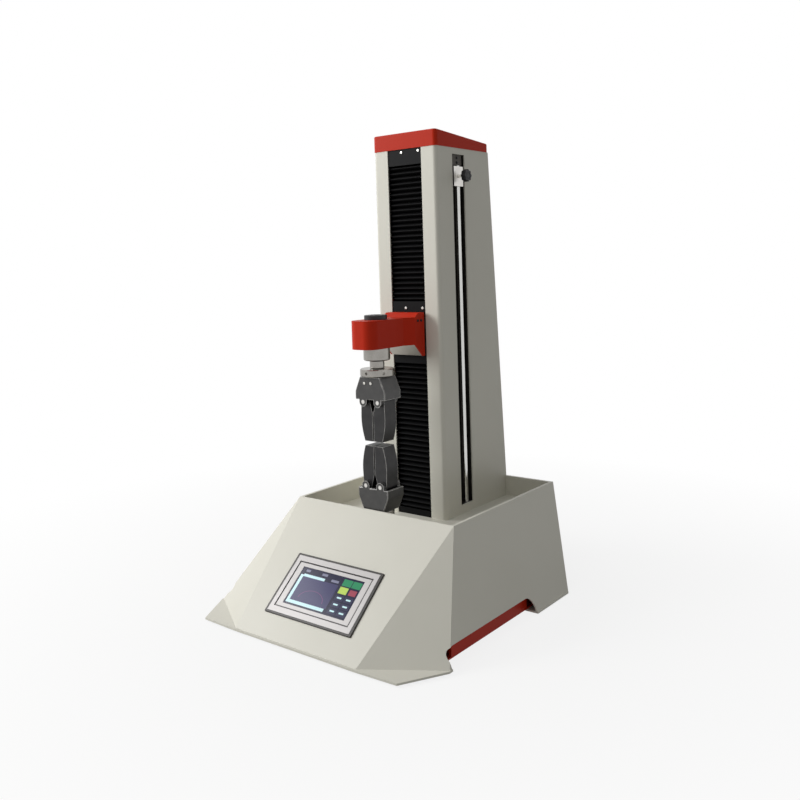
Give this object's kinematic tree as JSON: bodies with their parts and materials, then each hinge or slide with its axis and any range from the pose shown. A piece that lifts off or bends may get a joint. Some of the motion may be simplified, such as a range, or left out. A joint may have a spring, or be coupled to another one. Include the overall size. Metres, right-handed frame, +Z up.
{
  "type": "universal testing machine",
  "caption": "Single-column universal testing machine: faceted base with sloping touch console, tapered column, bellows, cantilever crosshead, load cell and pincer grips.",
  "frame": {"origin": "middle of the machine's footprint, on the surface that it stands on", "axes": "+Z up along the column, +Y to the back, +X to the machine's right as its user sees it"},
  "size_m": [0.62, 0.678, 1.0408],
  "materials": {
    "beige_paint": "fine textured powder coat",
    "red_paint": "semi-gloss powder coat",
    "rubber": "matt",
    "bezel_plastic": "gloss",
    "screen_glass": "lit display under a clear front",
    "black_plastic": "moulded",
    "circuit_board": "lacquered",
    "aluminium": "milled",
    "bright_steel": "turned",
    "chrome": "polished",
    "dark_steel": "blackened, machined",
    "bellows_cloth": "coated cloth"
  },
  "bodies": {
    "frame": {"base_casing": "beige_paint", "base_frame": "red_paint", "bellows_lower": "bellows_cloth", "bellows_upper": "bellows_cloth", "column_back_panel": "beige_paint", "column_cover": "beige_paint", "column_spine": "aluminium", "control_board": "circuit_board", "drive_belt": "rubber", "drive_motor": "dark_steel", "guide_rails": "bright_steel", "limit_rod": "chrome", "lower_grip_body": "dark_steel", "lower_grip_pins": "bright_steel", "lower_lock_ring": "bright_steel", "lower_stud": "bright_steel", "mains_inlet": "black_plastic", "panel_housing": "black_plastic", "power_supply": "aluminium", "rod_channel": "aluminium", "rubber_feet": "rubber", "screw_bearing_lower": "aluminium", "screw_bearing_upper": "aluminium", "top_cap": "red_paint", "touch_bezel": "bezel_plastic", "touch_screen": "screen_glass"},
    "crosshead": {"carriage": "aluminium", "screw_nut": "bright_steel", "crosshead_beam": "aluminium", "arm_cover": "red_paint", "arm_plug": "black_plastic", "load_cell": "bright_steel", "load_stud": "bright_steel", "upper_lock_ring": "bright_steel", "upper_grip_body": "dark_steel", "upper_grip_pins": "bright_steel"},
    "ball_screw": {"ball_screw": "bright_steel", "screw_pulley": "aluminium"},
    "motor_shaft": {"motor_pulley": "aluminium"},
    "limit_stop": {"limit_stop": "bright_steel"},
    "limit_knob": {"limit_knob": "black_plastic"},
    "upper_jaw_right": {"upper_jaw_right": "dark_steel"},
    "upper_jaw_left": {"upper_jaw_left": "dark_steel"},
    "lower_jaw_right": {"lower_jaw_right": "dark_steel"},
    "lower_jaw_left": {"lower_jaw_left": "dark_steel"},
    "power_rocker": {"power_rocker": "black_plastic"}
  },
  "joints": [
    {"name": "crosshead_travel", "type": "slide", "parent": "frame", "child": "crosshead", "axis": [0, 0, 1], "range_m": [0, 0.29], "deforming": ["bellows_upper", "bellows_lower"]},
    {"name": "screw_turn", "type": "hinge", "parent": "frame", "child": "ball_screw", "pos_m": [0, 0.212, 0.5], "axis": [0, 0, 1], "range_deg": [-20, 5240]},
    {"name": "motor_turn", "type": "hinge", "parent": "frame", "child": "motor_shaft", "pos_m": [0, 0.1, 0.12], "axis": [0, 0, 1], "range_deg": [-20, 7850]},
    {"name": "limit_stop_slide", "type": "slide", "parent": "frame", "child": "limit_stop", "axis": [0, 0, 1], "range_m": [-0.7, 0]},
    {"name": "limit_knob_turn", "type": "hinge", "parent": "limit_stop", "child": "limit_knob", "pos_m": [0.0875, 0.1595, 0.9405], "axis": [1, 0, 0], "continuous": true},
    {"name": "upper_jaw_right_swing", "type": "hinge", "parent": "crosshead", "child": "upper_jaw_right", "pos_m": [0.02, -0.046, 0.45], "axis": [0, -1, 0], "range_deg": [0, 6]},
    {"name": "upper_jaw_left_swing", "type": "hinge", "parent": "crosshead", "child": "upper_jaw_left", "pos_m": [-0.02, -0.046, 0.45], "axis": [0, 1, 0], "range_deg": [0, 6]},
    {"name": "lower_jaw_right_swing", "type": "hinge", "parent": "frame", "child": "lower_jaw_right", "pos_m": [0.02, -0.046, 0.267], "axis": [0, 1, 0], "range_deg": [0, 6]},
    {"name": "lower_jaw_left_swing", "type": "hinge", "parent": "frame", "child": "lower_jaw_left", "pos_m": [-0.02, -0.046, 0.267], "axis": [0, -1, 0], "range_deg": [0, 6]},
    {"name": "power_rocker_tilt", "type": "hinge", "parent": "frame", "child": "power_rocker", "pos_m": [-0.045, 0.336, 0.114], "axis": [1, 0, 0], "range_deg": [-10, 10]}
  ],
  "couplings": [
    {"joint": "screw_turn", "follows": "crosshead_travel", "rad_per_m": 314.16},
    {"joint": "motor_turn", "follows": "crosshead_travel", "rad_per_m": 471.24},
    {"joint": "upper_jaw_left_swing", "follows": "upper_jaw_right_swing", "ratio": 1},
    {"joint": "lower_jaw_left_swing", "follows": "lower_jaw_right_swing", "ratio": 1}
  ]
}
